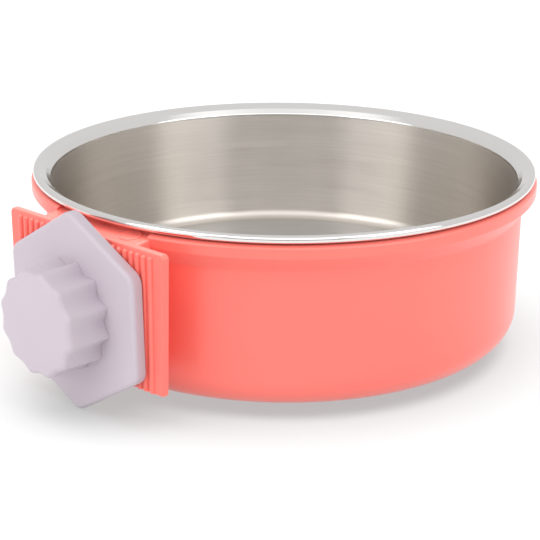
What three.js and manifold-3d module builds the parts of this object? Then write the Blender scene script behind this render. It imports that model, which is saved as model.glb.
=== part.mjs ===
// Crate pet bowl. A steel bowl lifts out of a moulded cup. A ribbed bracket is pinned to the cup, and a
// bolt through the bracket carries a scalloped knob, which draws a hexagonal plate towards the ribs to
// grip the wires of a crate. Millimetres, +Z up, origin at the centre of the cup's foot, clamp at -Y.

import * as THREE from 'three';
import { mergeVertices } from 'three/addons/utils/BufferGeometryUtils.js';
import Module from 'manifold-3d';

const wasm = await Module();
wasm.setup();

// Fits
const GAP = 0.3;                    // clearance between neighbouring pieces

// Steel bowl
const SHEET = 0.6;                  // thickness of the steel
const RIM_RADIUS = 73.5;            // outside of the rolled rim
const RIM_CROWN = 53.6;             // top of the rim above the floor
const BEAD_RADIUS = 1.1;            // outside of the roll
const BEAD_TURN = 210;              // angle through which the sheet is rolled, in degrees
const RIM_FLAT_WIDTH = 0.5;         // flat inside the roll
const RIM_SLOPE_WIDTH = 2.2;        // shallow slope inside the flat
const RIM_SLOPE_DROP = 1.3;
const SHOULDER_WIDTH = 1.35;        // steeper slope down to the wall
const SHOULDER_DROP = 1.55;
const BOWL_DEPTH = 37.6;            // rim crown to the inside floor
const BOWL_TAPER = 3.5;             // loss of radius from mouth to floor
const BOWL_CORNER_RADIUS = 3.0;     // inside corner at the floor

// Cup
const CUP_WALL = 1.5;
const CUP_TAPER = 0.3;              // loss of radius from the flare to the corner
const CUP_CORNER_RADIUS = 9.0;      // outside corner above the foot
const FOOT_INSET = 8.5;             // foot inside the start of the corner
const FOOT_HEIGHT = 3.2;
const FOOT_EDGE = 0.6;              // chamfer round the foot
const SEAT_INSET = 0.8;             // edge of the bowl's seat inside the rim
const SEAT_WIDTH = 2.4;
const LIP_OVERHANG = 0.5;           // cup lip beyond the bowl's rim
const LIP_DROP = 0.6;               // outer edge of the lip below the seat
const LIP_HEIGHT = 2.8;             // outer face of the lip
const FLARE_HEIGHT = 4.7;           // slope from the wall to the lip
const FLARE_OFFSET = 1.0;           // inside of the flare above the outside

// Ribbed bracket
const PLATE_STANDOFF = 1.7;         // back of the plate beyond the cup lip
const PLATE_THICKNESS = 2.3;
const PLATE_DROP = 4.0;             // top of the plate below the rim's crown
const PLATE_BOTTOM = 10.8;
const PLATE_HALF_WIDTH = 30.4;
const PLATE_DRAFT = 0.9;            // each side, narrower at the bottom
const PLATE_CORNER = 0.8;           // chamfer of the upper corners
const RIB_HEIGHT = 0.75;
const RIB_PITCH = 2.36;
const RIB_SIDE_MARGIN = 1.8;        // least plain strip beside the ribs
const RIB_FOOT_WIDTH = 1.5;
const RIB_CREST_WIDTH = 0.6;
const RIB_TOP_MARGIN = 1.2;         // plain band above the ribs
const TONGUE_SPREAD = 12.6;         // tongue and pin from the middle of the plate
const TONGUE_WIDTH = 6.0;
const TONGUE_LENGTH = 5.8;
const TONGUE_DROP = 6.2;            // top of the tongue below the top of the plate
const TONGUE_BOTTOM = 17.0;

// Block on the cup that carries the bracket
const BLOCK_CHEEK = 2.95;           // block beside the tongues
const BLOCK_FLOOR = 4.0;            // block below the tongues
const DECK_DROP = 0.15;             // front of the block's top below the top of the plate
const DECK_ANGLE = 8;               // slope of the block's top, in degrees

// Bracket pins
const PIN_RADIUS = 1.3;
const PIN_SETBACK = 3.1;            // pin axis behind the plate
const PIN_REACH = 2.0;              // pin below the tongue
const PIN_HEAD_RADIUS = 2.8;
const PIN_HEAD_DEPTH = 2.4;         // head sunk into the block
const PIN_HEAD_RISE = 0.3;          // head above the block's top

// Clamp bolt
const THREAD_RADIUS = 6.0;
const THREAD_DEPTH = 1.2;
const THREAD_PITCH = 3.0;
const THREAD_ROOT_HALF = 1.05;      // half width of the ridge at its root
const THREAD_CREST_HALF = 0.45;
const BOLT_HEAD_WIDTH = 15.4;
const BOLT_HEAD_THICKNESS = 2.8;
const BOLT_HEAD_CORNER = 2.0;
const BOLT_TIP_CHAMFER = 1.2;
const BOLT_TIP_GAP = 0.6;           // tip to the end of the knob's bore

// Hexagonal clamp plate
const HEX_APOTHEM = 24.4;
const HEX_CORNER_RADIUS = 4.0;
const HEX_THICKNESS = 3.7;
const HEX_ROLL = 2;                 // turned anticlockwise seen from the front, in degrees
const HEX_EDGE = 1.0;               // rounding of its edges
const HEX_FLOOR_GAP = 0.25;         // lowest corner above the floor

// Knob
const KNOB_RADIUS = 15.2;
const KNOB_HEIGHT = 12.6;
const KNOB_LOBES = 12;
const KNOB_PHASE = 19;              // angle of one ridge from +X, in degrees
const KNOB_FLUTE_DEPTH = 0.95;      // flutes at the face
const KNOB_FLUTE_BASE = 2.2;        // flutes at the hexagon
const KNOB_TAPER = 0.5;             // loss of radius from base to face
const KNOB_EDGE = 0.9;              // rounding of the face's edge
const KNOB_FACE = 2.4;              // thickness over the bore
const KNOB_WALL = 2.4;              // scalloped wall round the hollow
const NECK_RADIUS = 8.0;            // neck that passes through the hexagon
const NECK_LIP = 0.8;               // snap lip beyond the neck
const NECK_LIP_THICKNESS = 1.2;
const NECK_RECESS = 0.4;            // end of the neck inside the hexagon's back

// Facets
const ROUND_SEGMENTS = 48;
const SMALL_SEGMENTS = 24;
const ARC_STEPS = 3;
const LOBE_STEPS = 8;

// Places that follow from the sizes
const beadCentre = RIM_RADIUS - BEAD_RADIUS;
const rimSlopeTop = beadCentre - RIM_FLAT_WIDTH;
const shoulderRadius = rimSlopeTop - RIM_SLOPE_WIDTH;
const shoulderTop = RIM_CROWN - RIM_SLOPE_DROP;
const bowlMouthRadius = shoulderRadius - SHOULDER_WIDTH;
const bowlMouthTop = shoulderTop - SHOULDER_DROP;
const bowlFloor = RIM_CROWN - BOWL_DEPTH;
const bowlFloorRadius = bowlMouthRadius - BOWL_TAPER;
const bowlCornerTop = bowlFloor + BOWL_CORNER_RADIUS;
const seatTop = RIM_CROWN - 2 * BEAD_RADIUS - GAP;
const lipTop = seatTop - LIP_DROP;
const lipBottom = lipTop - LIP_HEIGHT;
const lipRadius = RIM_RADIUS + LIP_OVERHANG;
const flareBottom = lipBottom - FLARE_HEIGHT;
const innerFlare = flareBottom + FLARE_OFFSET;
const bowlWallShare = (innerFlare - bowlCornerTop) / (bowlMouthTop - bowlCornerTop);
const cupInnerRadius = bowlFloorRadius + BOWL_TAPER * bowlWallShare + SHEET + GAP;
const cupOuterRadius = cupInnerRadius + CUP_WALL;
const cupCornerStart = cupOuterRadius - CUP_TAPER - CUP_CORNER_RADIUS;
const plateBack = lipRadius + PLATE_STANDOFF;
const plateFace = plateBack + PLATE_THICKNESS;
const plateTop = RIM_CROWN - PLATE_DROP;
const plateFootHalfWidth = PLATE_HALF_WIDTH - PLATE_DRAFT;
const ribCount = Math.floor(2 * (plateFootHalfWidth - RIB_SIDE_MARGIN) / RIB_PITCH);
const ribCrest = plateFace + RIB_HEIGHT;
const blockFront = plateBack - GAP;
const blockHalfWidth = TONGUE_SPREAD + TONGUE_WIDTH / 2 + GAP + BLOCK_CHEEK;
const tongueTop = plateTop - TONGUE_DROP;
const tongueEnd = plateBack - TONGUE_LENGTH;
const pinDistance = plateBack - PIN_SETBACK;
const pinEnd = TONGUE_BOTTOM - PIN_REACH;
const deckSlope = Math.tan(THREE.MathUtils.degToRad(DECK_ANGLE));
const pinHeadBottom = deckHeight(pinDistance) - PIN_HEAD_DEPTH;
const boltHeadFront = plateBack - GAP;
const boltHeadBack = boltHeadFront - BOLT_HEAD_THICKNESS;
const hexBack = ribCrest + GAP;
const hexFront = hexBack + HEX_THICKNESS;
const hexCornerReach = (HEX_APOTHEM - HEX_CORNER_RADIUS) / Math.cos(Math.PI / 6) + HEX_CORNER_RADIUS;
const axisHeight = hexCornerReach + HEX_FLOOR_GAP;
const neckEnd = hexBack + NECK_RECESS;
const neckLipFront = neckEnd + NECK_LIP_THICKNESS;
const knobBase = hexFront + GAP;
const knobFace = knobBase + KNOB_HEIGHT;
const boreEnd = knobFace - KNOB_FACE;
const boltTip = boreEnd - BOLT_TIP_GAP;

// Height of the block's top at a distance in front of the bowl's axis
function deckHeight(distance) {
  return plateTop - DECK_DROP + deckSlope * (blockFront - distance);
}

const CORAL = { color: 0xf5705f, roughness: 0.42, metalness: 0 };
const LAVENDER = { color: 0xd8cddb, roughness: 0.5, metalness: 0 };
const STEEL = { color: 0xc8c4be, roughness: 0.28, metalness: 1 };

// Shapes

const WELD = 1e-4;                  // vertices closer than this are one
const EMBED = 0.4;                  // depth that joined shapes sink into each other

function toSolid(geometry) {
  geometry.deleteAttribute('normal');
  geometry.deleteAttribute('uv');
  const welded = mergeVertices(geometry, WELD);
  const corners = Array.from(welded.index.array);
  const kept = [];
  for (let k = 0; k < corners.length; k += 3) {
    const [a, b, c] = corners.slice(k, k + 3);
    if (a !== b && b !== c && c !== a) kept.push(a, b, c);
  }
  return new wasm.Manifold(new wasm.Mesh({
    numProp: 3,
    vertProperties: new Float32Array(welded.attributes.position.array),
    triVerts: new Uint32Array(kept),
  }));
}

function toMesh(name, solid, look) {
  const { vertProperties, triVerts } = solid.getMesh();
  const geometry = new THREE.BufferGeometry();
  geometry.setAttribute('position', new THREE.BufferAttribute(vertProperties, 3));
  geometry.setIndex(new THREE.BufferAttribute(triVerts, 1));
  geometry.computeVertexNormals();
  const mesh = new THREE.Mesh(geometry, new THREE.MeshStandardMaterial(look));
  mesh.name = name;
  return mesh;
}

// Points of an arc in a profile, both ends included, angles in degrees
function arc(centreR, centreZ, radius, from, to, steps = ARC_STEPS) {
  const points = [];
  for (let k = 0; k <= steps; k += 1) {
    const angle = THREE.MathUtils.degToRad(from + (to - from) * k / steps);
    points.push([centreR + radius * Math.cos(angle), centreZ + radius * Math.sin(angle)]);
  }
  return points;
}

// Closed profile of a sheet, from the path of its upper side
function sheetProfile(path, thickness) {
  const downs = path.slice(1).map(([r, z], k) => {
    const [fromR, fromZ] = path[k];
    const length = Math.hypot(r - fromR, z - fromZ);
    return [(z - fromZ) / length, (fromR - r) / length];
  });
  const underside = path.map(([r, z], k) => {
    const before = downs[Math.max(k - 1, 0)];
    const after = downs[Math.min(k, downs.length - 1)];
    const share = thickness / (1 + before[0] * after[0] + before[1] * after[1]);
    return [r + share * (before[0] + after[0]), z + share * (before[1] + after[1])];
  });
  return [...underside, ...path.toReversed()];
}

// Body turned about Z from a closed profile of radius and height, listed up its outer side
function turned(profile, segments = ROUND_SEGMENTS) {
  const points = [...profile, profile[0]].map(([r, z]) => new THREE.Vector2(r, z));
  return new THREE.LatheGeometry(points, segments).rotateX(Math.PI / 2);
}

function rod(radius, bottom, top) {
  return turned([[0, bottom], [radius, bottom], [radius, top], [0, top]], SMALL_SEGMENTS);
}

function box(low, high) {
  const size = high.map((value, k) => value - low[k]);
  const centre = low.map((value, k) => value + size[k] / 2);
  return new THREE.BoxGeometry(...size).translate(...centre);
}

// Outline in X and Y, raised from bottom to top in Z
function prism(points, bottom, top) {
  const shape = new THREE.Shape(points.map(([x, y]) => new THREE.Vector2(x, y)));
  const geometry = new THREE.ExtrudeGeometry(shape, { depth: top - bottom, bevelEnabled: false });
  return geometry.translate(0, 0, bottom);
}

// From the clamp's frame, where Z is the distance in front of the bowl's axis, to the part's frame
function fromClamp(geometry, height) {
  return geometry.rotateX(Math.PI / 2).translate(0, 0, height);
}

// Side outline, as distance in front of the bowl's axis and height, widened along X
function sidePrism(points, halfWidth) {
  const outline = points.map(([distance, z]) => [-distance, z]);
  return prism(outline, -halfWidth, halfWidth).rotateX(Math.PI / 2).rotateZ(Math.PI / 2);
}

// Regular outline with round corners, with its first corner at the given angle
function roundedPolygon(sides, apothem, cornerRadius, firstAngle) {
  const half = Math.PI / sides;
  const reach = (apothem - cornerRadius) / Math.cos(half);
  const shape = new THREE.Shape();
  for (let k = 0; k < sides; k += 1) {
    const angle = firstAngle + 2 * half * k;
    const x = reach * Math.cos(angle);
    const y = reach * Math.sin(angle);
    shape.absarc(x, y, cornerRadius, angle - half, angle + half, false);
  }
  return shape;
}

// Closed skin over rings of equal point count, stacked along Z, with flat ends
function skin(rings) {
  const count = rings[0].length;
  const middle = (ring) => [0, 1, 2].map((k) => ring.reduce((sum, point) => sum + point[k], 0) / count);
  const positions = [...rings.flat(), middle(rings[0]), middle(rings.at(-1))].flat();
  const first = rings.length * count;
  const top = first - count;
  const index = [];
  for (let k = 0; k < count; k += 1) {
    const next = (k + 1) % count;
    for (let row = 0; row < top; row += count) {
      index.push(row + k, row + next, row + count + next);
      index.push(row + k, row + count + next, row + count + k);
    }
    index.push(first, next, k);
    index.push(first + 1, top + k, top + next);
  }
  const geometry = new THREE.BufferGeometry();
  geometry.setAttribute('position', new THREE.Float32BufferAttribute(positions, 3));
  geometry.setIndex(index);
  return geometry;
}

// Core with a right-hand helical ridge along Z, grown all round by a clearance, cut flat at both ends
function threaded(bottom, top, clearance) {
  const core = THREAD_RADIUS - THREAD_DEPTH + clearance;
  const crest = THREAD_RADIUS + clearance;
  const rootHalf = THREAD_ROOT_HALF + clearance;
  const crestHalf = THREAD_CREST_HALF + clearance;
  const section = [[core - EMBED, rootHalf], [core, rootHalf], [crest, crestHalf],
    [crest, -crestHalf], [core, -rootHalf], [core - EMBED, -rootHalf]];
  const firstStep = (Math.floor(bottom / THREAD_PITCH) - 1) * SMALL_SEGMENTS;
  const lastStep = (Math.ceil(top / THREAD_PITCH) + 1) * SMALL_SEGMENTS;
  const rings = [];
  for (let step = firstStep; step <= lastStep; step += 1) {
    const angle = 2 * Math.PI * step / SMALL_SEGMENTS;
    const rise = THREAD_PITCH * step / SMALL_SEGMENTS;
    rings.push(section.map(([r, z]) => [r * Math.cos(angle), r * Math.sin(angle), z + rise]));
  }
  const ends = toSolid(rod(crest + EMBED, bottom, top));
  const long = toSolid(rod(core, bottom - THREAD_PITCH, top + THREAD_PITCH));
  return long.add(toSolid(skin(rings))).intersect(ends);
}

// Pieces

// Sheet whose upper side runs from the floor's middle up the wall and over the rolled rim
function steelBowl() {
  const upperSide = [
    [0, bowlFloor],
    ...arc(bowlFloorRadius - BOWL_CORNER_RADIUS, bowlCornerTop, BOWL_CORNER_RADIUS, -90, 0),
    [bowlMouthRadius, bowlMouthTop],
    [shoulderRadius, shoulderTop],
    [rimSlopeTop, RIM_CROWN],
    ...arc(beadCentre, RIM_CROWN - BEAD_RADIUS, BEAD_RADIUS, 90, 90 - BEAD_TURN, 3 * ARC_STEPS),
  ];
  return toSolid(turned(sheetProfile(upperSide, SHEET)));
}

function holderCup() {
  const footRadius = cupCornerStart - FOOT_INSET;
  const cornerZ = FOOT_HEIGHT + CUP_CORNER_RADIUS;
  const flareSlope = FLARE_HEIGHT / (lipRadius - cupOuterRadius);
  const seatOuter = RIM_RADIUS - SEAT_INSET;
  const seatInner = seatOuter - SEAT_WIDTH;
  const outside = toSolid(turned([
    [0, 0],
    [footRadius - FOOT_EDGE, 0],
    [footRadius, FOOT_EDGE],
    [footRadius, FOOT_HEIGHT],
    ...arc(cupCornerStart, cornerZ, CUP_CORNER_RADIUS, -90, 0, 2 * ARC_STEPS),
    [cupOuterRadius, flareBottom],
    [lipRadius, lipBottom],
    [lipRadius, lipTop],
    [seatOuter, seatTop],
    [0, seatTop],
  ]));
  const hollow = toSolid(turned([
    [0, CUP_WALL],
    [footRadius - CUP_WALL, CUP_WALL],
    [footRadius - CUP_WALL, FOOT_HEIGHT + CUP_WALL],
    ...arc(cupCornerStart, cornerZ, CUP_CORNER_RADIUS - CUP_WALL, -90, 0, 2 * ARC_STEPS),
    [cupInnerRadius, innerFlare],
    [seatInner, innerFlare + (seatInner - cupInnerRadius) * flareSlope],
    [seatInner, RIM_CROWN],
    [0, RIM_CROWN],
  ]));
  return outside.add(bracketBlock()).subtract(hollow).subtract(deckNotch()).subtract(bracketSeats());
}

// Block between the cup wall and the bracket, with a top that slopes up under the bowl's rim
function bracketBlock() {
  const inside = cupInnerRadius - blockHalfWidth;
  const bottom = TONGUE_BOTTOM - BLOCK_FLOOR;
  return toSolid(sidePrism([
    [inside, bottom],
    [blockFront, bottom],
    [blockFront, deckHeight(blockFront)],
    [inside, deckHeight(inside)],
  ], blockHalfWidth));
}

// Room above the block's sloping top, where the cup's lip and seat are left out
function deckNotch() {
  const inside = cupInnerRadius - blockHalfWidth;
  return toSolid(sidePrism([
    [inside, deckHeight(inside)],
    [plateBack, deckHeight(plateBack)],
    [plateBack, RIM_CROWN],
    [inside, RIM_CROWN],
  ], blockHalfWidth));
}

// Pocket for the bolt's head, slots for the bracket's tongues, and holes for the pins
function bracketSeats() {
  const pocket = BOLT_HEAD_WIDTH / 2 + GAP;
  let seats = toSolid(box(
    [-pocket, -plateBack, axisHeight - pocket],
    [pocket, GAP - boltHeadBack, axisHeight + pocket],
  ));
  for (const side of [-1, 1]) {
    const x = side * TONGUE_SPREAD;
    const slot = TONGUE_WIDTH / 2 + GAP;
    const tongueRoom = box(
      [x - slot, -plateBack, TONGUE_BOTTOM - GAP],
      [x + slot, GAP - tongueEnd, tongueTop + GAP],
    );
    const hole = rod(PIN_RADIUS + GAP, pinEnd - GAP, plateTop);
    const recess = rod(PIN_HEAD_RADIUS + GAP, pinHeadBottom - GAP, RIM_CROWN);
    seats = seats
      .add(toSolid(tongueRoom))
      .add(toSolid(hole.translate(x, -pinDistance, 0)))
      .add(toSolid(recess.translate(x, -pinDistance, 0)));
  }
  return seats;
}

// Plate with upright ribs and two tongues at its back
function clampBracket() {
  const front = toSolid(fromClamp(prism([
    [-plateFootHalfWidth, PLATE_BOTTOM],
    [plateFootHalfWidth, PLATE_BOTTOM],
    [PLATE_HALF_WIDTH, plateTop - PLATE_CORNER],
    [PLATE_HALF_WIDTH - PLATE_CORNER, plateTop],
    [PLATE_CORNER - PLATE_HALF_WIDTH, plateTop],
    [-PLATE_HALF_WIDTH, plateTop - PLATE_CORNER],
  ], plateBack, plateFace), 0));
  const ribSpan = ribCount * RIB_PITCH / 2;
  const comb = [[ribSpan, EMBED - plateFace], [-ribSpan, EMBED - plateFace]];
  for (let k = 0; k < ribCount; k += 1) {
    const x = (k + 1 / 2) * RIB_PITCH - ribSpan;
    comb.push([x - RIB_FOOT_WIDTH / 2, -plateFace], [x - RIB_CREST_WIDTH / 2, -ribCrest]);
    comb.push([x + RIB_CREST_WIDTH / 2, -ribCrest], [x + RIB_FOOT_WIDTH / 2, -plateFace]);
  }
  let bracket = front.add(toSolid(prism(comb, PLATE_BOTTOM, plateTop - RIB_TOP_MARGIN)));
  for (const side of [-1, 1]) {
    const x = side * TONGUE_SPREAD;
    const half = TONGUE_WIDTH / 2;
    const tongue = box([x - half, -plateBack - EMBED, TONGUE_BOTTOM], [x + half, -tongueEnd, tongueTop]);
    const hole = rod(PIN_RADIUS + GAP, pinEnd, plateTop).translate(x, -pinDistance, 0);
    bracket = bracket.add(toSolid(tongue)).subtract(toSolid(hole));
  }
  const boltHole = fromClamp(rod(THREAD_RADIUS + GAP, tongueEnd, hexFront), axisHeight);
  return bracket.subtract(toSolid(boltHole));
}

// Pin about its own axis, with a head that slopes with the block's top
function bracketPin() {
  const round = toSolid(turned([
    [0, pinEnd],
    [PIN_RADIUS, pinEnd],
    [PIN_RADIUS, pinHeadBottom],
    [PIN_HEAD_RADIUS, pinHeadBottom],
    [PIN_HEAD_RADIUS, RIM_CROWN],
    [0, RIM_CROWN],
  ], SMALL_SEGMENTS));
  const reach = PIN_HEAD_RADIUS + EMBED;
  const above = toSolid(sidePrism([
    [-reach, deckHeight(pinDistance - reach) + PIN_HEAD_RISE],
    [reach, deckHeight(pinDistance + reach) + PIN_HEAD_RISE],
    [reach, RIM_CROWN + EMBED],
    [-reach, RIM_CROWN + EMBED],
  ], reach));
  return round.subtract(above);
}

// Square head behind the plate, plain shank through it, and the thread
function clampBolt() {
  const headOutline = roundedPolygon(4, BOLT_HEAD_WIDTH / 2, BOLT_HEAD_CORNER, Math.PI / 4);
  const head = new THREE.ExtrudeGeometry(headOutline, {
    depth: BOLT_HEAD_THICKNESS,
    bevelEnabled: false,
    curveSegments: ARC_STEPS,
  }).translate(0, 0, boltHeadBack);
  const pointed = turned([
    [0, boltHeadBack],
    [THREAD_RADIUS + EMBED, boltHeadBack],
    [THREAD_RADIUS + EMBED, boltTip - BOLT_TIP_CHAMFER - EMBED],
    [THREAD_RADIUS - BOLT_TIP_CHAMFER, boltTip],
    [0, boltTip],
  ], SMALL_SEGMENTS);
  const shank = toSolid(rod(THREAD_RADIUS, boltHeadBack + EMBED, plateFace));
  const ridged = threaded(plateFace - EMBED, boltTip, 0).intersect(toSolid(pointed));
  return toSolid(head).add(shank).add(ridged);
}

function hexClampPlate() {
  const firstCorner = THREE.MathUtils.degToRad(90 + HEX_ROLL);
  const outline = roundedPolygon(6, HEX_APOTHEM, HEX_CORNER_RADIUS, firstCorner);
  const plate = new THREE.ExtrudeGeometry(outline, {
    depth: HEX_THICKNESS - 2 * HEX_EDGE,
    bevelThickness: HEX_EDGE,
    bevelSize: HEX_EDGE,
    bevelOffset: -HEX_EDGE,
    bevelSegments: ARC_STEPS,
    curveSegments: ARC_STEPS,
  }).translate(0, 0, hexBack + HEX_EDGE);
  const hole = rod(NECK_RADIUS + GAP, plateFace, knobBase);
  const lipRoom = rod(NECK_RADIUS + NECK_LIP + GAP, plateFace, neckLipFront + GAP);
  return toSolid(plate).subtract(toSolid(hole)).subtract(toSolid(lipRoom));
}

// Scalloped shell with a threaded neck, which snaps into the hexagon
function clampKnob() {
  const ring = (height, inset, depth) => {
    const points = [];
    for (let k = 0; k < KNOB_LOBES * LOBE_STEPS; k += 1) {
      const turn = 2 * Math.PI * k / (KNOB_LOBES * LOBE_STEPS);
      const flute = depth * Math.sin(Math.PI * k / LOBE_STEPS % Math.PI);
      const radius = KNOB_RADIUS - flute - inset;
      const angle = turn + THREE.MathUtils.degToRad(KNOB_PHASE);
      points.push([radius * Math.cos(angle), radius * Math.sin(angle), height]);
    }
    return points;
  };
  const edge = arc(0, 0, KNOB_EDGE, 0, 90).map(([x, y]) => (
    ring(knobFace - KNOB_EDGE + y, KNOB_TAPER + KNOB_EDGE - x, KNOB_FLUTE_DEPTH)
  ));
  const body = toSolid(skin([ring(knobBase, 0, KNOB_FLUTE_BASE), ...edge]));
  const hollowRadius = KNOB_RADIUS - Math.max(KNOB_FLUTE_BASE, KNOB_FLUTE_DEPTH + KNOB_TAPER) - KNOB_WALL;
  const hollow = toSolid(rod(hollowRadius, neckEnd, boreEnd));
  const neck = toSolid(rod(NECK_RADIUS, neckEnd, boreEnd + EMBED));
  const lip = toSolid(rod(NECK_RADIUS + NECK_LIP, neckEnd, neckLipFront));
  return body.subtract(hollow).add(neck).add(lip).subtract(threaded(plateFace, boreEnd, GAP));
}

// Assembly

const cratePetBowl = new THREE.Group();
cratePetBowl.add(toMesh('holder_cup', holderCup(), CORAL));
cratePetBowl.add(toMesh('steel_bowl', steelBowl(), STEEL));
cratePetBowl.add(toMesh('clamp_bracket', clampBracket(), CORAL));
for (const [name, side] of [['bracket_pin_left', -1], ['bracket_pin_right', 1]]) {
  const pin = toMesh(name, bracketPin(), CORAL);
  pin.position.set(side * TONGUE_SPREAD, -pinDistance, 0);
  cratePetBowl.add(pin);
}

const clamp = new THREE.Group();
clamp.position.z = axisHeight;
clamp.rotation.x = Math.PI / 2;
clamp.add(toMesh('clamp_bolt', clampBolt(), CORAL));
clamp.add(toMesh('hex_clamp_plate', hexClampPlate(), LAVENDER));
clamp.add(toMesh('clamp_knob', clampKnob(), LAVENDER));
cratePetBowl.add(clamp);

export default cratePetBowl;
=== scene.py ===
"""Looks of the crate pet bowl: a fine mesh and a finish for each piece, and the stage around it."""

import math

import bmesh
import bpy
from mathutils import Matrix, Vector


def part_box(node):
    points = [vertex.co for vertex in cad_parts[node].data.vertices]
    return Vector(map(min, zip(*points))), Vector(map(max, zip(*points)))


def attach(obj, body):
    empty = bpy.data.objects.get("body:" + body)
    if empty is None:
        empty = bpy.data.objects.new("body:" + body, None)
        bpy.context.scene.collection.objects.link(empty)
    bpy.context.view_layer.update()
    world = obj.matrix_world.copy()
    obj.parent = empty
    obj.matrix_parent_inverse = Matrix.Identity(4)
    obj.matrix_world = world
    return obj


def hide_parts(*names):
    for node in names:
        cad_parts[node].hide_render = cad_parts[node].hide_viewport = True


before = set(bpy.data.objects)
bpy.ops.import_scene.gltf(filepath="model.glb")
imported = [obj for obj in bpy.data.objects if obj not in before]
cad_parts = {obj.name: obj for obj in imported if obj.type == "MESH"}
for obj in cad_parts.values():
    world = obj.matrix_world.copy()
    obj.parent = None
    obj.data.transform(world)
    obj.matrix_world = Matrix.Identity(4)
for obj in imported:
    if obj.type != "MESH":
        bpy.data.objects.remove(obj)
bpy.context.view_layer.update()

MM = 0.001

# Places taken from the frame
bowl_low, bowl_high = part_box("steel_bowl")
_, cup_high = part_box("holder_cup")
plate_low, plate_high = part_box("clamp_bracket")
hex_low, hex_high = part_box("hex_clamp_plate")
knob_low, knob_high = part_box("clamp_knob")
bolt_low, bolt_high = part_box("clamp_bolt")

rim_radius = bowl_high.x
rim_crown = bowl_high.z
lip_radius = cup_high.x
seat_top = cup_high.z
axis_height = (hex_low.z + hex_high.z) / 2
rib_crest = -plate_low.y
plate_top = plate_high.z
plate_bottom = plate_low.z
plate_half_width = plate_high.x
hex_front = -hex_low.y
hex_back = -hex_high.y
knob_face = -knob_low.y
neck_end = -knob_high.y
bolt_tip = -bolt_low.y
bolt_head_back = -bolt_high.y

# Steel bowl
SHEET = 0.6 * MM
BEAD_RADIUS = 1.1 * MM
BEAD_TURN = 210  # degrees
RIM_FLAT_WIDTH = 0.5 * MM
RIM_SLOPE_WIDTH = 2.2 * MM
RIM_SLOPE_DROP = 1.3 * MM
SHOULDER_WIDTH = 1.35 * MM
SHOULDER_DROP = 1.55 * MM
RIM_BEND_RADIUS = 0.7 * MM
BOWL_TAPER = 3.5 * MM
BOWL_CORNER_RADIUS = 3.0 * MM

# Cup
GAP = 0.3 * MM
CUP_WALL = 1.5 * MM
CUP_TAPER = 0.3 * MM
CUP_CORNER_RADIUS = 9.0 * MM
FOOT_INSET = 8.5 * MM
FOOT_HEIGHT = 3.2 * MM
FOOT_EDGE = 0.6 * MM
SEAT_INSET = 0.8 * MM
SEAT_WIDTH = 2.4 * MM
SEAT_BACK = 0.6 * MM  # strip of the seat that stays behind the block's top
LIP_DROP = 0.6 * MM
LIP_HEIGHT = 2.8 * MM
LIP_EDGE = 0.8 * MM
LIP_FOOT_RADIUS = 0.8 * MM
FLARE_HEIGHT = 4.7 * MM
FLARE_OFFSET = 1.0 * MM
FLARE_RADIUS = 2.5 * MM

# Bracket and its block
PLATE_THICKNESS = 2.3 * MM
PLATE_DRAFT = 0.9 * MM
PLATE_CORNER = 0.8 * MM
PLATE_EDGE = 0.4 * MM
PLATE_CORNER_LOSS = 0.9  # largest share of the edge's radius that a corner loses at the plate's ends
RIB_HEIGHT = 0.75 * MM
RIB_PITCH = 2.36 * MM
RIB_COUNT = 23
RIB_HALF_WIDTH = 0.8 * MM
RIB_TOP_MARGIN = 1.1 * MM
RIB_END = 0.8 * MM
BLOCK_HALF_WIDTH = 18.85 * MM
BLOCK_GAP = 0.02 * MM  # from the plate's back
BLOCK_EDGE = 0.8 * MM
BLOCK_BOTTOM = 13.0 * MM
DECK_DROP = 0.15 * MM
DECK_SLOPE = math.tan(math.radians(8))

# Pins
PIN_RADIUS = 1.3 * MM
PIN_HEAD_RADIUS = 3.05 * MM
PIN_HEAD_DEPTH = 2.4 * MM
PIN_HEAD_RISE = 0.3 * MM
PIN_RING_WIDTH = 0.5 * MM
PIN_FACE_RISE = 0.1 * MM

# Bolt
THREAD_RADIUS = 6.0 * MM
THREAD_DEPTH = 1.2 * MM
THREAD_PITCH = 3.0 * MM
THREAD_CREST_SHARE = 0.15
THREAD_ROOT_SHARE = 0.35
BOLT_HEAD_WIDTH = 15.4 * MM
BOLT_HEAD_THICKNESS = 2.8 * MM
BOLT_HEAD_CORNER = 2.0 * MM
BOLT_TIP_CHAMFER = 1.2 * MM

# Hexagon and knob
HEX_APOTHEM = 24.4 * MM
HEX_CORNER_RADIUS = 4.0 * MM
HEX_ROLL = 2  # degrees
HEX_EDGE = 1.2 * MM
HEX_BACK_EDGE = 0.35 * MM
KNOB_RADIUS = 15.2 * MM
KNOB_LOBES = 12
KNOB_PHASE = 19  # degrees
KNOB_FLUTE_DEPTH = 0.95 * MM  # at the face
KNOB_FLUTE_BASE = 2.2 * MM  # at the hexagon
KNOB_FLUTE_CURVE = 1.5  # power by which the flutes deepen on the way
KNOB_RIDGE_ROUND = 0.25
KNOB_TAPER = 0.5 * MM
KNOB_EDGE = 1.5 * MM
KNOB_SKIRT_GAP = 0.05 * MM
KNOB_FACE = 2.4 * MM
NECK_RADIUS = 8.0 * MM
NECK_LIP = 0.8 * MM
NECK_LIP_THICKNESS = 1.2 * MM

# Fineness of the meshes
ROUND_SEGMENTS = 192
SMALL_SEGMENTS = 64
ARC_STEPS = 10
RING_STEPS = 8
EDGE_STEPS = 6
PLATE_TOP_STEPS = 5
SMALL_EDGE_STEPS = 4
RIB_COLUMN_ANGLE = 15  # degrees between the columns of points over a rib
RIB_END_ANGLE = 9  # degrees between the rows of points at a rib's end
THREAD_STEPS = 20  # to a turn
KNOB_RINGS = 8
KNOB_LOBE_POINTS = 16
SHARP_ANGLE = 32  # degrees

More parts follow.
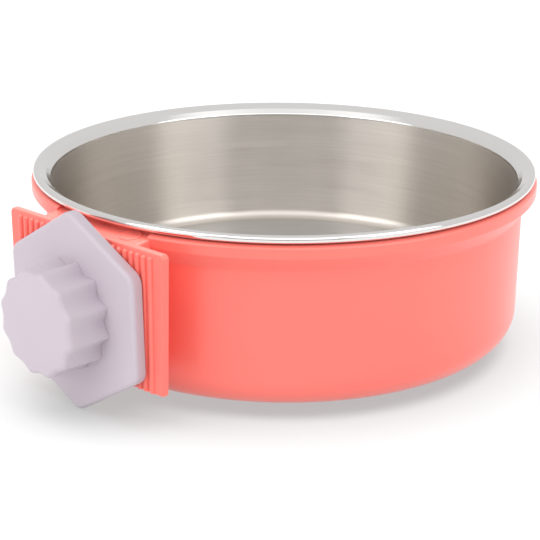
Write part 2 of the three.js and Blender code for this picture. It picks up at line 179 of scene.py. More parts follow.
bead_centre = rim_radius - BEAD_RADIUS
rim_slope_top = bead_centre - RIM_FLAT_WIDTH
shoulder_radius = rim_slope_top - RIM_SLOPE_WIDTH
shoulder_top = rim_crown - RIM_SLOPE_DROP
bowl_mouth_radius = shoulder_radius - SHOULDER_WIDTH
bowl_mouth_top = shoulder_top - SHOULDER_DROP
bowl_floor = bowl_low.z + SHEET
bowl_wall_slope = BOWL_TAPER / (bowl_mouth_top - bowl_floor - BOWL_CORNER_RADIUS)
lip_top = seat_top - LIP_DROP
lip_bottom = lip_top - LIP_HEIGHT
flare_bottom = lip_bottom - FLARE_HEIGHT
inner_flare = flare_bottom + FLARE_OFFSET
cup_inner_radius = bowl_mouth_radius - bowl_wall_slope * (bowl_mouth_top - inner_flare) + SHEET + GAP
cup_outer_radius = cup_inner_radius + CUP_WALL
plate_face = rib_crest - RIB_HEIGHT
plate_back = plate_face - PLATE_THICKNESS
block_front = plate_back - BLOCK_GAP
clamp_frame = Matrix.Translation((0, 0, axis_height)) @ Matrix.Rotation(math.pi / 2, 4, "X")


# Shapes

def arc(centre_x, centre_y, radius, start, end, steps=ARC_STEPS):
    """Points of an arc, both ends included, angles in degrees."""
    angles = [math.radians(start + (end - start) * k / steps) for k in range(steps + 1)]
    return [(centre_x + radius * math.cos(a), centre_y + radius * math.sin(a)) for a in angles]


def circle(radius, height, segments):
    turns = [2 * math.pi * k / segments for k in range(segments)]
    return [(radius * math.cos(t), radius * math.sin(t), height) for t in turns]


def loft(rings, loop=False):
    """Closed mesh over rings of points. A ring of one point is an apex, and wider end rings get caps."""
    mesh = bmesh.new()
    rows = [[mesh.verts.new(point) for point in ring] for ring in rings]
    pairs = list(zip(rows, rows[1:]))
    if loop:
        pairs.append((rows[-1], rows[0]))
    for lower, upper in pairs:
        count = max(len(lower), len(upper))
        for k in range(count):
            after = (k + 1) % count
            corners = [
                lower[k % len(lower)],
                lower[after % len(lower)],
                upper[after % len(upper)],
                upper[k % len(upper)],
            ]
            mesh.faces.new(dict.fromkeys(corners))
    if not loop and len(rows[0]) > 1:
        mesh.faces.new(reversed(rows[0]))
    if not loop and len(rows[-1]) > 1:
        mesh.faces.new(rows[-1])
    return mesh


def filleted(points, radii, steps=EDGE_STEPS):
    """Path through points, with the corner at each inner point rounded by its radius."""
    path = [Vector(points[0])]
    for k, radius in enumerate(radii, start=1):
        corner = Vector(points[k])
        back = (Vector(points[k - 1]) - corner).normalized()
        ahead = (Vector(points[k + 1]) - corner).normalized()
        half = back.angle(ahead) / 2
        centre = corner + (back + ahead).normalized() * (radius / math.sin(half))
        first = corner + back * (radius / math.tan(half)) - centre
        last = corner + ahead * (radius / math.tan(half)) - centre
        turn = -first.angle_signed(last)
        turns = [turn * step / steps for step in range(steps + 1)]
        path += [centre + Matrix.Rotation(angle, 2) @ first for angle in turns]
    return path + [Vector(points[-1])]


def sheet_profile(path, thickness):
    """Closed profile of a sheet, from the path of its upper side."""
    steps = [(after - before).normalized() for before, after in zip(path, path[1:])]
    downs = [Vector((step.y, -step.x)) for step in steps]
    underside = []
    for k, point in enumerate(path):
        before = downs[max(k - 1, 0)]
        after = downs[min(k, len(downs) - 1)]
        underside.append(point + (before + after) * thickness / (1 + before.dot(after)))
    return underside + path[::-1]


def turned(profile, segments=ROUND_SEGMENTS):
    """Mesh turned about Z from pairs of radius and height.

    The pairs run from the axis up the outside and back to the axis.
    """
    rings = [circle(r, z, segments) if r > 0 else [(0, 0, z)] for r, z in profile]
    return loft(rings)


def rounded_polygon(sides, apothem, corner_radius, first_angle, inset, steps=ARC_STEPS):
    """Outline with round corners, the first of them at first_angle, moved inwards by inset."""
    half = 180 / sides
    reach = (apothem - corner_radius) / math.cos(math.radians(half))
    points = []
    for k in range(sides):
        angle = first_angle + 2 * half * k
        x = reach * math.cos(math.radians(angle))
        y = reach * math.sin(math.radians(angle))
        points += arc(x, y, corner_radius - inset, angle - half, angle + half, steps)
    return points


def at_height(outline, height):
    return [(x, y, height) for x, y in outline]


def onto_circle(outline, radius, height):
    """Points of a circle at the same angles as the outline's points."""
    angles = [math.atan2(y, x) for x, y in outline]
    return [(radius * math.cos(a), radius * math.sin(a), height) for a in angles]


def side_prism(points, half_width):
    """Side outline of Y and Z, widened along X."""
    return loft([[(side * half_width, y, z) for y, z in points] for side in (-1, 1)])


def into_scene(name, data):
    made = bpy.data.objects.new(name, data)
    bpy.context.scene.collection.objects.link(made)
    return made


def add_object(name, mesh, placed=None):
    """Object from a bmesh, which is used up, moved by the matrix if there is one."""
    if placed is not None:
        mesh.transform(placed)
    bmesh.ops.recalc_face_normals(mesh, faces=mesh.faces)
    data = bpy.data.meshes.new(name)
    mesh.to_mesh(data)
    mesh.free()
    return into_scene(name, data)


def combine(target, other, operation):
    """Joins or cuts target by other, which is used up."""
    step = target.modifiers.new("combine", "BOOLEAN")
    step.operation = operation
    step.solver = "EXACT"
    step.object = other
    bpy.context.view_layer.update()
    depsgraph = bpy.context.evaluated_depsgraph_get()
    result = bpy.data.meshes.new_from_object(target.evaluated_get(depsgraph))
    target.modifiers.clear()
    target.data = result
    bpy.data.objects.remove(other)


def dress(made, body, material, nodes):
    """Smooth shading, finish and place of a piece in the frame."""
    made.data.shade_smooth()
    made.data.set_sharp_from_angle(angle=math.radians(SHARP_ANGLE))
    made.modifiers.new("even shading", "WEIGHTED_NORMAL").keep_sharp = True
    made.data.materials.clear()
    made.data.materials.append(material)
    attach(made, body)
    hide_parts(*nodes)
    return made


# Materials

NOISE_LOW = 0.3  # between these lie nearly all values of a noise
NOISE_HIGH = 0.7
FLOW_SCALE = 18
SKIN_SCALE = 2600
SKIN_DETAIL = 3
SKIN_ROUGHNESS = 0.6  # of the noise
SKIN_SMOOTHER = 0.04
SKIN_ROUGHER = 0.05
SKIN_STRENGTH = 0.12
SKIN_DEPTH = 0.02 * MM
SHEEN_ROUGHNESS = 0.4

STEEL_WALL = (0.628, 0.586, 0.542), (0.682, 0.637, 0.588)
# the floor's colour, painted darker than the wall's as painted shade
STEEL_FLOOR_PAINTED_SHADE = (0.41, 0.404, 0.393), (0.49, 0.484, 0.473)
# the rim's colour, painted lighter than the wall's as a painted highlight
STEEL_RIM_PAINTED_HIGHLIGHT = (0.76, 0.745, 0.73)
ANISOTROPY = 0.9
ACROSS_THE_LINES = 0.25  # of a turn, from the tangent
RIM_ROUGHNESS = 0.1
GRAIN_LOW = 0.17  # roughness that the brushing adds
GRAIN_HIGH = 0.27
GRAIN_DETAIL = 4
GRAIN_ROUGHNESS = 0.65  # of the noise
BRUSH_LINES = 2.5, 3400  # around and across, as lines() takes them
BRUSH_BANDS = 1.5, 420
BRUSH_SHARE = 0.7
STREAK_LOW = 0.4
STREAK_HIGH = 0.6
BRUSH_STRENGTH = 0.05
BRUSH_DEPTH = 0.01 * MM
# where the rim's smoother polish and its painted highlight colour begin
POLISH_START = 3.6 * MM  # below the rim's crown
POLISH_FULL = 3.2 * MM
SPUN_BLEND = 1 * MM
LEAST_RADIUS = 0.1 * MM


class Nodes:
    """Short ways to add nodes to a tree."""

    def __init__(self, tree):
        self.nodes = tree.nodes
        self.links = tree.links

    def node(self, kind, inputs=None, **settings):
        made = self.nodes.new("ShaderNode" + kind)
        for key, value in settings.items():
            setattr(made, key, value)
        for key, value in (inputs or {}).items():
            if isinstance(value, bpy.types.NodeSocket):
                self.links.new(value, made.inputs[key])
            else:
                made.inputs[key].default_value = value
        return made

    def math(self, operation, *values):
        return self.node("Math", dict(enumerate(values)), operation=operation).outputs[0]

    def place(self, space="Object"):
        return self.node("TexCoord").outputs[space]

    def split(self, vector):
        return self.node("SeparateXYZ", {"Vector": vector}).outputs

    def noise(self, scale, vector=None, detail=2.0, roughness=0.5):
        return self.node("TexNoise", {
            "Scale": scale,
            "Detail": detail,
            "Roughness": roughness,
            "Vector": vector or self.place(),
        }).outputs["Fac"]

    def span(self, value, low, high, from_low=NOISE_LOW, from_high=NOISE_HIGH):
        """Value from low to high while the input runs from from_low to from_high."""
        return self.node("MapRange", {
            "Value": value,
            "From Min": from_low,
            "From Max": from_high,
            "To Min": low,
            "To Max": high,
        }).outputs["Result"]

    def mix(self, factor, first, second):
        """Mix of two colours, each a value or a socket."""
        made = self.node("Mix", {"Factor": factor}, data_type="RGBA")
        for socket, colour in (("A", first), ("B", second)):
            slot = next(s for s in made.inputs if s.name == socket and s.type == "RGBA")
            if isinstance(colour, bpy.types.NodeSocket):
                self.links.new(colour, slot)
            else:
                slot.default_value = (*colour, 1)
        return next(s for s in made.outputs if s.type == "RGBA")

    def bump(self, height, strength, distance):
        return self.node("Bump", {
            "Height": height,
            "Strength": strength,
            "Distance": distance,
        }).outputs["Normal"]


class Finish(Nodes):
    """A material around one principled shader."""

    def __init__(self, name, **values):
        self.material = bpy.data.materials.new(name)
        self.material.use_nodes = True
        super().__init__(self.material.node_tree)
        self.shader = self.nodes["Principled BSDF"]
        for socket, value in values.items():
            self.shader.inputs[socket.replace("_", " ")].default_value = value

    def to(self, socket, output):
        self.links.new(output, self.shader.inputs[socket])


def plastic(name, pale, deep, roughness, ior, sheen):
    """Moulded plastic: faint flow marks in the colour and a fine satin skin."""
    finish = Finish(name, IOR=ior, Sheen_Weight=sheen, Sheen_Roughness=SHEEN_ROUGHNESS)
    flow = finish.noise(FLOW_SCALE, detail=SKIN_DETAIL)
    finish.to("Base Color", finish.mix(finish.span(flow, 0, 1), pale, deep))
    skin = finish.noise(SKIN_SCALE, detail=SKIN_DETAIL, roughness=SKIN_ROUGHNESS)
    finish.to("Roughness", finish.span(skin, roughness - SKIN_SMOOTHER, roughness + SKIN_ROUGHER))
    finish.to("Normal", finish.bump(skin, SKIN_STRENGTH, SKIN_DEPTH))
    return finish.material


def brushed_steel():
    """Stainless sheet with brush lines that run round the bowl and in rings on the floor; the floor's
    colour is painted darker as painted shade, and the rim, of smoother polish, has its colour painted
    lighter as a painted highlight.
    """
    finish = Finish(
        "brushed_steel",
        Metallic=1.0,
        Anisotropic=ANISOTROPY,
        Anisotropic_Rotation=ACROSS_THE_LINES,
    )
    x, y, z = finish.split(finish.place())
    squares = finish.math("ADD", finish.math("MULTIPLY", x, x), finish.math("MULTIPLY", y, y))
    radius = finish.math("SQRT", squares)
    safe = finish.math("MAXIMUM", radius, LEAST_RADIUS)
    east = finish.math("DIVIDE", x, safe)
    north = finish.math("DIVIDE", y, safe)
    along = finish.math("ADD", z, radius)

    def lines(around, across):
        """Streaks drawn out round the bowl: few around a turn, and many across a metre."""
        vector = finish.node("CombineXYZ", {
            "X": finish.math("MULTIPLY", east, around),
            "Y": finish.math("MULTIPLY", north, around),
            "Z": finish.math("MULTIPLY", along, across),
        }).outputs[0]
        return finish.noise(1, vector, detail=GRAIN_DETAIL, roughness=GRAIN_ROUGHNESS)

    brush = lines(*BRUSH_LINES)
    bands = lines(*BRUSH_BANDS)
    streaks = finish.math(
        "ADD",
        finish.math("MULTIPLY", brush, BRUSH_SHARE),
        finish.math("MULTIPLY", bands, 1 - BRUSH_SHARE),
    )
    light_streak = finish.span(streaks, 0, 1, STREAK_LOW, STREAK_HIGH)
    # share of the rim: smoother, and its colour painted lighter as a painted highlight
    polish_and_painted_highlight = finish.span(z, 0, 1, rim_crown - POLISH_START, rim_crown - POLISH_FULL)
    matte = finish.math("SUBTRACT", 1, polish_and_painted_highlight)
    floor_edge = bowl_mouth_radius - BOWL_TAPER - BOWL_CORNER_RADIUS
    # share of the floor, whose colour is painted darker as painted shade
    floor_share_painted_shade = finish.span(radius, 1, 0, floor_edge - SPUN_BLEND, floor_edge + SPUN_BLEND)

    wall_metal = finish.mix(light_streak, *STEEL_WALL)
    # floor colour painted darker than the wall's, as painted shade
    floor_metal_painted_shade = finish.mix(light_streak, *STEEL_FLOOR_PAINTED_SHADE)
    metal_with_painted_floor_shade = finish.mix(floor_share_painted_shade, wall_metal, floor_metal_painted_shade)
    grain = finish.math("MULTIPLY", matte, finish.span(streaks, GRAIN_LOW, GRAIN_HIGH))
    brush_bump = finish.bump(brush, finish.math("MULTIPLY", matte, BRUSH_STRENGTH), BRUSH_DEPTH)
    round_the_axis = finish.node("Tangent", direction_type="RADIAL", axis="Z").outputs[0]
    # on the rim the colour is a painted highlight
    finish.to("Base Color", finish.mix(polish_and_painted_highlight, metal_with_painted_floor_shade, STEEL_RIM_PAINTED_HIGHLIGHT))
    finish.to("Roughness", finish.math("ADD", RIM_ROUGHNESS, grain))
    finish.to("Normal", brush_bump)
    finish.to("Tangent", round_the_axis)
    return finish.material


CORAL = plastic(
    "coral_plastic",
    pale=(0.92, 0.175, 0.14),
    deep=(0.90, 0.16, 0.125),
    roughness=0.34,
    ior=1.55,
    sheen=0.25,
)
LAVENDER = plastic(
    "lavender_plastic",
    pale=(0.58, 0.512, 0.568),
    deep=(0.55, 0.483, 0.543),
    roughness=0.46,
    ior=1.49,
    sheen=0.0,
)
STEEL = brushed_steel()


# Pieces

def steel_bowl():
    """Sheet from the floor's middle up the wall, over the sloping rim and round its rolled edge."""
    floor_radius = bowl_mouth_radius - bowl_wall_slope * (bowl_mouth_top - bowl_floor)
    inside = filleted([
        (0, bowl_floor),
        (floor_radius, bowl_floor),
        (bowl_mouth_radius, bowl_mouth_top),
        (shoulder_radius, shoulder_top),
        (rim_slope_top, rim_crown),
        (bead_centre, rim_crown),
    ], [BOWL_CORNER_RADIUS, RIM_BEND_RADIUS, RIM_BEND_RADIUS, RIM_BEND_RADIUS], ARC_STEPS)
    bead = arc(bead_centre, rim_crown - BEAD_RADIUS, BEAD_RADIUS, 90, 90 - BEAD_TURN, 2 * ARC_STEPS)
    upper_side = inside[:-1] + [Vector(point) for point in bead]
    bowl = add_object("bowl_of_steel", turned(sheet_profile(upper_side, SHEET)))
    dress(bowl, "bowl", STEEL, ["steel_bowl"])


def deck_height(y):
    """Height of the top of the block that carries the bracket."""
    return plate_top - DECK_DROP + DECK_SLOPE * (block_front + y)


def holder_cup():
    """Turned cup with the block that carries the bracket, whose top slopes up to the seat."""
    corner_r = cup_outer_radius - CUP_TAPER - CUP_CORNER_RADIUS
    corner_z = FOOT_HEIGHT + CUP_CORNER_RADIUS
    foot_radius = corner_r - FOOT_INSET
    seat_outer = rim_radius - SEAT_INSET
    seat_inner = seat_outer - SEAT_WIDTH
    flare_slope = FLARE_HEIGHT / (lip_radius - cup_outer_radius)
    wall = filleted([
        (corner_r + CUP_CORNER_RADIUS, corner_z),
        (cup_outer_radius, flare_bottom),
        (lip_radius, lip_bottom),
        (lip_radius, lip_top),
        (seat_outer, seat_top),
    ], [FLARE_RADIUS, LIP_FOOT_RADIUS, LIP_EDGE])
    profile = [
        (0, 0),
        *arc(foot_radius - FOOT_EDGE, FOOT_EDGE, FOOT_EDGE, -90, 0, SMALL_EDGE_STEPS),
        (foot_radius, FOOT_HEIGHT),
        *arc(corner_r, corner_z, CUP_CORNER_RADIUS, -90, 0, 2 * ARC_STEPS)[:-1],
        *wall,
        (seat_inner, seat_top),
        (seat_inner, inner_flare + (seat_inner - cup_inner_radius) * flare_slope),
        (cup_inner_radius, inner_flare),
        *arc(corner_r, corner_z, CUP_CORNER_RADIUS - CUP_WALL, 0, -90),
        (foot_radius - CUP_WALL, FOOT_HEIGHT + CUP_WALL),
        (foot_radius - CUP_WALL, CUP_WALL),
        (0, CUP_WALL),
    ]
    cup = add_object("cup", turned(profile))
    inside = BLOCK_HALF_WIDTH - cup_inner_radius
    notch = side_prism([
        (inside, deck_height(inside)),
        (-plate_face, deck_height(-plate_face)),
        (-plate_face, rim_crown),
        (inside, rim_crown),
    ], BLOCK_HALF_WIDTH - BLOCK_EDGE)
    notch = add_object("notch", notch)
    kept_radius = seat_inner + SEAT_BACK
    kept = turned([(0, 0), (kept_radius, 0), (kept_radius, rim_crown), (0, rim_crown)])
    combine(notch, add_object("kept_seat", kept), "DIFFERENCE")
    combine(cup, notch, "DIFFERENCE")
    half_block = [
        (BLOCK_HALF_WIDTH - BLOCK_EDGE + x, BLOCK_EDGE - rise)
        for x, rise in arc(0, 0, BLOCK_EDGE, 90, 0, EDGE_STEPS)
    ]
    other_half = [(-x, drop) for x, drop in reversed(half_block)]
    block = add_object("block", loft([[
        (x, inside, BLOCK_BOTTOM),
        (x, -block_front, BLOCK_BOTTOM),
        (x, -block_front, deck_height(-block_front) - drop),
        (x, inside, deck_height(inside) - drop),
    ] for x, drop in other_half + half_block]))
    wall_middle = cup_inner_radius + CUP_WALL / 2
    core = turned([
        (0, 0),
        (wall_middle, 0),
        (wall_middle, inner_flare),
        (seat_inner, inner_flare + (seat_inner - wall_middle) * flare_slope),
        (seat_inner, rim_crown),
        (0, rim_crown),
    ])
    combine(block, add_object("core", core), "DIFFERENCE")
    combine(cup, block, "UNION")
    return dress(cup, "holder", CORAL, ["holder_cup"])


def rib_height(x, z):
    """Height of the ribs over the plate: half-round along X, with round upper ends."""
    span = RIB_COUNT * RIB_PITCH / 2
    if abs(x) > span:
        return 0
    across = ((x + span) % RIB_PITCH - RIB_PITCH / 2) / RIB_HALF_WIDTH
    along = max(0, z - plate_top + RIB_TOP_MARGIN + RIB_END) / RIB_END
    return RIB_HEIGHT * math.sqrt(max(0, 1 - across ** 2 - along ** 2))


def clamp_bracket():
    """Plate with upright ribs, built up in level rings, with a hole for the bolt."""
    columns = []
    across_rib = [math.sin(math.radians(a)) for a in range(-90, 91, RIB_COLUMN_ANGLE)]
    for k in range(RIB_COUNT):
        middle = (k - (RIB_COUNT - 1) / 2) * RIB_PITCH
        columns += [middle + RIB_HALF_WIDTH * share for share in across_rib]
    end_start = plate_top - RIB_TOP_MARGIN - RIB_END
    along_end = [math.sin(math.radians(a)) for a in range(0, 91, RIB_END_ANGLE)]
    bottom_edge = arc(PLATE_EDGE, PLATE_EDGE, PLATE_EDGE, 270, 180, SMALL_EDGE_STEPS)
    top_edge = arc(0, 0, PLATE_EDGE, 0, 90, PLATE_TOP_STEPS)
    heights = [plate_bottom + y for _, y in bottom_edge]
    heights += [end_start + RIB_END * share for share in along_end]
    heights += [plate_top - PLATE_EDGE + y for _, y in top_edge]
    rings = []
    for z in heights:
        share = (z - plate_bottom) / (plate_top - plate_bottom)
        half = plate_half_width - PLATE_DRAFT * (1 - share) - max(0, z - plate_top + PLATE_CORNER)
        from_end = min(z - plate_bottom, plate_top - z)
        inset = 0
        if from_end < PLATE_EDGE:
            inset = PLATE_EDGE - math.sqrt(PLATE_EDGE ** 2 - (PLATE_EDGE - from_end) ** 2)
        front = plate_face - inset
        back = plate_back + inset
        corner = PLATE_EDGE - min(inset, PLATE_CORNER_LOSS * PLATE_EDGE)
        corner_arc = arc(0, 0, corner, 0, 90, SMALL_EDGE_STEPS)
        rib_share = 1 - inset / PLATE_EDGE
        ring = [(-half, -back), (half, -back)]
        ring += [(half - corner + x, -front + corner - y) for x, y in corner_arc]
        ring += [(x, -front - rib_height(x, z) * rib_share) for x in reversed(columns)]
        ring += [(corner - half - x, -front + corner - y) for x, y in reversed(corner_arc)]
        rings.append([(x, y, z) for x, y in reversed(ring)])
    bracket = add_object("ribbed_bracket", loft(rings))
    bolt_room = THREAD_RADIUS + GAP
    hole = turned([(0, 0), (bolt_room, 0), (bolt_room, hex_front), (0, hex_front)], SMALL_SEGMENTS)
    combine(bracket, add_object("hole", hole, clamp_frame), "DIFFERENCE")
    return dress(bracket, "holder", CORAL, ["clamp_bracket"])


def bracket_pins():
    """Pins whose heads slope with the block's top and have a fine raised ring."""
    pins = []
    for side in ("left", "right"):
        node = "bracket_pin_" + side
        low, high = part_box(node)
        middle = (low + high) / 2
        deck = deck_height(middle.y)
        ring = PIN_RING_WIDTH / 2
        ring_middle = PIN_HEAD_RADIUS - ring
        mesh = turned([
            (0, low.z),
            (PIN_RADIUS, low.z),
            (PIN_RADIUS, deck - PIN_HEAD_DEPTH),
            (PIN_HEAD_RADIUS, deck - PIN_HEAD_DEPTH),
            *arc(ring_middle, deck + PIN_HEAD_RISE - ring, ring, 0, 180, RING_STEPS),
            (ring_middle - ring, deck + PIN_FACE_RISE),
            (0, deck + PIN_FACE_RISE),
        ], SMALL_SEGMENTS)
        for vertex in mesh.verts:
            if vertex.co.z > deck - PIN_HEAD_DEPTH / 2:
                vertex.co.z += DECK_SLOPE * vertex.co.y
        pin = add_object("pin_" + side, mesh, Matrix.Translation((middle.x, middle.y, 0)))
        pins.append(dress(pin, "holder", CORAL, [node]))
    return pins


def thread_radius(angle, height):
    """Radius of the right-hand thread, with sloping flanks between its root and crest."""
    turn = (height / THREAD_PITCH - angle / (2 * math.pi)) % 1
    away = min(turn, 1 - turn)
    rise = (THREAD_ROOT_SHARE - away) / (THREAD_ROOT_SHARE - THREAD_CREST_SHARE)
    return THREAD_RADIUS - THREAD_DEPTH * (1 - min(1, max(0, rise)))


def clamp_bolt():
    """Bolt with a square head and a thread from the plate's face to its tip."""
    corner_steps = SMALL_SEGMENTS // 4 - 1
    head = rounded_polygon(4, BOLT_HEAD_WIDTH / 2, BOLT_HEAD_CORNER, 45, 0, corner_steps)
    head_front = bolt_head_back + BOLT_HEAD_THICKNESS
    rings = [
        at_height(head, bolt_head_back),
        at_height(head, head_front),
        onto_circle(head, THREAD_RADIUS, head_front),
        onto_circle(head, THREAD_RADIUS, plate_face),
    ]
    steps = round((bolt_tip - plate_face) / THREAD_PITCH * THREAD_STEPS)
    for k in range(1, steps + 1):
        z = plate_face + (bolt_tip - plate_face) * k / steps
        most = THREAD_RADIUS - max(0, z - bolt_tip + BOLT_TIP_CHAMFER)
        ring = []
        for x, y in head:
            angle = math.atan2(y, x)
            radius = min(most, thread_radius(angle, z))
            ring.append((radius * math.cos(angle), radius * math.sin(angle), z))
        rings.append(ring)
    bolt = add_object("threaded_bolt", loft(rings), clamp_frame)
    dress(bolt, "holder", CORAL, ["clamp_bolt"])


def hex_clamp_plate():
    """Hexagon with a stepped bore that holds the knob's neck."""
    def outline(inset):
        return rounded_polygon(6, HEX_APOTHEM, HEX_CORNER_RADIUS, 90 + HEX_ROLL, inset)

    bore = NECK_RADIUS + GAP
    lip_room = bore + NECK_LIP
    lip_end = neck_end + NECK_LIP_THICKNESS + GAP
    back_edge = arc(HEX_BACK_EDGE, HEX_BACK_EDGE, HEX_BACK_EDGE, 270, 180, SMALL_EDGE_STEPS)
    front_edge = arc(HEX_EDGE, -HEX_EDGE, HEX_EDGE, 180, 90, EDGE_STEPS)
    rings = [onto_circle(outline(0), lip_room, hex_back)]
    rings += [at_height(outline(inset), hex_back + rise) for inset, rise in back_edge]
    rings += [at_height(outline(inset), hex_front + rise) for inset, rise in front_edge]
    rings += [onto_circle(outline(0), bore, hex_front)]
    rings += [onto_circle(outline(0), bore, lip_end)]
    rings += [onto_circle(outline(0), lip_room, lip_end)]
    plate = add_object("hexagonal_plate", loft(rings, loop=True), clamp_frame)
    return dress(plate, "clamp_plate", LAVENDER, ["hex_clamp_plate"])


def clamp_knob():
    """Knob with flutes that deepen towards the hexagon, a neck with a lip, and a bore for the bolt."""
    count = KNOB_LOBES * KNOB_LOBE_POINTS

    def rounded(wave):
        return math.hypot(wave, KNOB_RIDGE_ROUND) - KNOB_RIDGE_ROUND

    def scalloped(height, inset, depth=KNOB_FLUTE_DEPTH):
        ring = []
        for k in range(count):
            wave = math.sin(math.pi * k * KNOB_LOBES / count)
            flute = depth * rounded(wave) / rounded(1)
            radius = KNOB_RADIUS - flute - inset
            angle = 2 * math.pi * k / count + math.radians(KNOB_PHASE)
            ring.append((radius * math.cos(angle), radius * math.sin(angle), height))
        return ring

    def round_ring(radius, height):
        return circle(radius, height, count)

    bore = THREAD_RADIUS + GAP
    bore_end = knob_face - KNOB_FACE
    lip_front = neck_end + NECK_LIP_THICKNESS
    skirt = hex_front + KNOB_SKIRT_GAP
    rings = [
        [(0, 0, bore_end)],
        round_ring(bore, bore_end),
        round_ring(bore, neck_end),
        round_ring(NECK_RADIUS + NECK_LIP, neck_end),
        round_ring(NECK_RADIUS + NECK_LIP, lip_front),
        round_ring(NECK_RADIUS, lip_front),
        round_ring(NECK_RADIUS, skirt),
    ]
    edge_start = knob_face - KNOB_EDGE
    for k in range(KNOB_RINGS):
        share = k / KNOB_RINGS
        deepening = (KNOB_FLUTE_BASE - KNOB_FLUTE_DEPTH) * (1 - share) ** KNOB_FLUTE_CURVE
        height = skirt + (edge_start - skirt) * share
        rings.append(scalloped(height, KNOB_TAPER * share, KNOB_FLUTE_DEPTH + deepening))
    for x, y in arc(0, 0, KNOB_EDGE, 0, 90, RING_STEPS):
        rings.append(scalloped(edge_start + y, KNOB_TAPER + KNOB_EDGE - x))
    rings.append([(0, 0, knob_face)])
    knob = add_object("scalloped_knob", loft(rings), clamp_frame)
    return dress(knob, "knob", LAVENDER, ["clamp_knob"])


# Stage, light and camera

FLOOR_HALF = 4.0
FLOOR_GLOW = 0.47  # keeps the floor white under the tent
FLOOR_ROUGHNESS = 0.9
FLOOR_COLOURS = (0.102, 0.102, 0.102), (0.1, 0.1, 0.1)
FLOOR_GRAIN = 40
FLOOR_LIGHT_HEIGHT = 2.0
FLOOR_LIGHT_SIZE = 3.4
FLOOR_LIGHT_POWER = 400
CAMERA_TARGET = Vector((0, 0, 26 * MM))
CAMERA_DISTANCE = 500 * MM
CAMERA_AZIMUTH = 42.62
CAMERA_ELEVATION = 18.449
CAMERA_PAN = -0.451
CAMERA_TILT = -0.735
CAMERA_ROLL = 0.554
CAMERA_LENS = 110.99
CAMERA_SENSOR = 36
CAMERA_CLIP = 0.01
SOFTBOX_DISTANCE = 1.4
TENT_LOW = 0.79  # at the horizon
TENT_HIGH = 0.86  # overhead
TENT_OPENING = 0.4  # share of the light left in the opening
OPENING_EDGE = 0.89, 0.91  # how far a direction points to the camera's side, 1 at most
TENT_BAND = 0.45  # light that the band adds
BAND_FOOT = 0.70, 0.76  # heights on a sphere of radius 1
BAND_HEAD = 0.90, 0.95
BAND_SIDE = 0.05, 0.2


def direction(azimuth, elevation):
    """Unit vector from the object, with azimuth 0 towards -Y and 90 towards +X, in degrees."""
    a = math.radians(azimuth)
    e = math.radians(elevation)
    return Vector((math.sin(a) * math.cos(e), -math.cos(a) * math.cos(e), math.sin(e)))


def camera():
    data = bpy.data.cameras.new("camera")
    data.lens = CAMERA_LENS
    data.sensor_width = CAMERA_SENSOR
    data.clip_start = CAMERA_CLIP
    made = into_scene("camera", data)
    away = direction(CAMERA_AZIMUTH, CAMERA_ELEVATION)
    aim = (-away).to_track_quat("-Z", "Y").to_matrix()
    for angle, axis in ((-CAMERA_PAN, "Y"), (CAMERA_TILT, "X"), (CAMERA_ROLL, "Z")):
        aim = aim @ Matrix.Rotation(math.radians(angle), 3, axis)
    made.matrix_world = Matrix.Translation(CAMERA_TARGET + CAMERA_DISTANCE * away) @ aim.to_4x4()
    bpy.context.scene.camera = made


def floor():
    mesh = bmesh.new()
    corners = ((-1, -1), (1, -1), (1, 1), (-1, 1))
    mesh.faces.new([mesh.verts.new((x * FLOOR_HALF, y * FLOOR_HALF, 0)) for x, y in corners])
    made = add_object("floor", mesh)
    paper = Finish(
        "floor_paper",
        Roughness=FLOOR_ROUGHNESS,
        Specular_IOR_Level=0.0,
        Emission_Strength=FLOOR_GLOW,
    )
    paper.to("Base Color", paper.mix(paper.noise(FLOOR_GRAIN), *FLOOR_COLOURS))
    made.data.materials.append(paper.material)
    return made


def softbox(name, azimuth, elevation, size, radiance):
    """Soft light at an angle from the camera's azimuth, with its width and height as angles."""
    width, height = (2 * SOFTBOX_DISTANCE * math.tan(math.radians(angle / 2)) for angle in size)
    data = bpy.data.lights.new(name, "AREA")
    data.shape = "RECTANGLE"
    data.size = width
    data.size_y = height
    data.energy = radiance * math.pi * width * height
    made = into_scene(name, data)
    towards = direction(CAMERA_AZIMUTH + azimuth, elevation)
    made.location = CAMERA_TARGET + SOFTBOX_DISTANCE * towards
    made.rotation_euler = towards.to_track_quat("Z", "Y").to_euler()
    return made


def link_light(light, objects, state="INCLUDE"):
    """Keeps a light to the objects or, with the state EXCLUDE, off them."""
    linked = bpy.data.collections.new("linked_to_" + light.name)
    for made in objects:
        linked.objects.link(made)
    for entry in linked.collection_objects:
        entry.light_linking.link_state = state
    light.light_linking.receiver_collection = linked


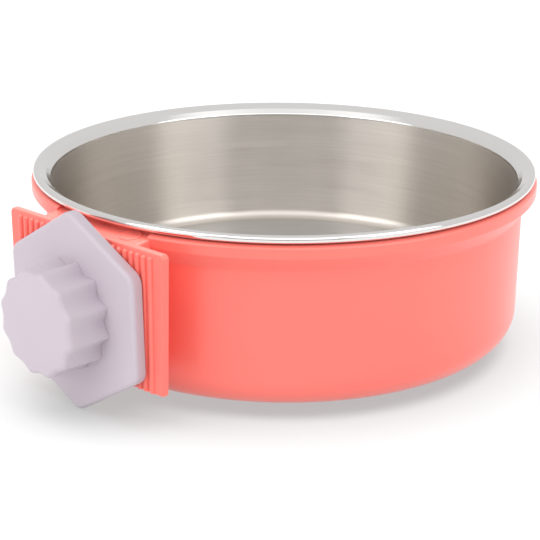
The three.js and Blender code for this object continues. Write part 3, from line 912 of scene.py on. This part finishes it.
def floor_light(ground):
    """Broad overhead light that falls on the floor alone and gives it a soft grey shadow."""
    data = bpy.data.lights.new("floor_light", "AREA")
    data.shape = "DISK"
    data.size = FLOOR_LIGHT_SIZE
    data.energy = FLOOR_LIGHT_POWER
    made = into_scene("floor_light", data)
    made.location = (0, 0, FLOOR_LIGHT_HEIGHT)
    link_light(made, [ground])


def tent():
    """White tent with a darker opening and a lighter band on the camera's side."""
    world = bpy.data.worlds.new("studio")
    world.use_nodes = True
    nodes = Nodes(world.node_tree)
    facing = nodes.place("Generated")
    height = nodes.split(facing)[2]
    front = nodes.node(
        "VectorMath",
        {0: facing, 1: direction(CAMERA_AZIMUTH, 0)},
        operation="DOT_PRODUCT",
    ).outputs["Value"]
    wall = nodes.span(height, TENT_LOW, TENT_HIGH, 0, 1)
    opening = nodes.span(front, 1, TENT_OPENING, *OPENING_EDGE)
    band = nodes.math(
        "MULTIPLY",
        nodes.span(height, 0, 1, *BAND_FOOT),
        nodes.span(height, 1, 0, *BAND_HEAD),
    )
    front_band = nodes.math("MULTIPLY", band, nodes.span(front, 0, TENT_BAND, *BAND_SIDE))
    strength = nodes.math("ADD", nodes.math("MULTIPLY", wall, opening), front_band)
    background = nodes.nodes["Background"]
    nodes.links.new(strength, background.inputs["Strength"])
    background.inputs["Color"].default_value = (1, 1, 1, 1)
    bpy.context.scene.world = world


def softboxes(coral, lavender):
    """Four softboxes: the top one lights the coral pieces alone, and the right one not the lavender."""
    softbox("left_softbox", azimuth=-54, elevation=36, size=(36, 40), radiance=1.65)
    right = softbox("right_softbox", azimuth=54, elevation=36, size=(36, 40), radiance=1.65)
    link_light(right, lavender, "EXCLUDE")
    softbox("front_softbox", azimuth=0, elevation=40, size=(42, 50), radiance=0.72)
    top = softbox("top_softbox", azimuth=180, elevation=74, size=(40, 40), radiance=7.0)
    link_light(top, coral)


bpy.context.scene.view_settings.view_transform = "Standard"
camera()
floor_light(floor())
steel_bowl()
clamp_bolt()
coral_pieces = [holder_cup(), clamp_bracket(), *bracket_pins()]
lavender_pieces = [hex_clamp_plate(), clamp_knob()]
tent()
softboxes(coral_pieces, lavender_pieces)
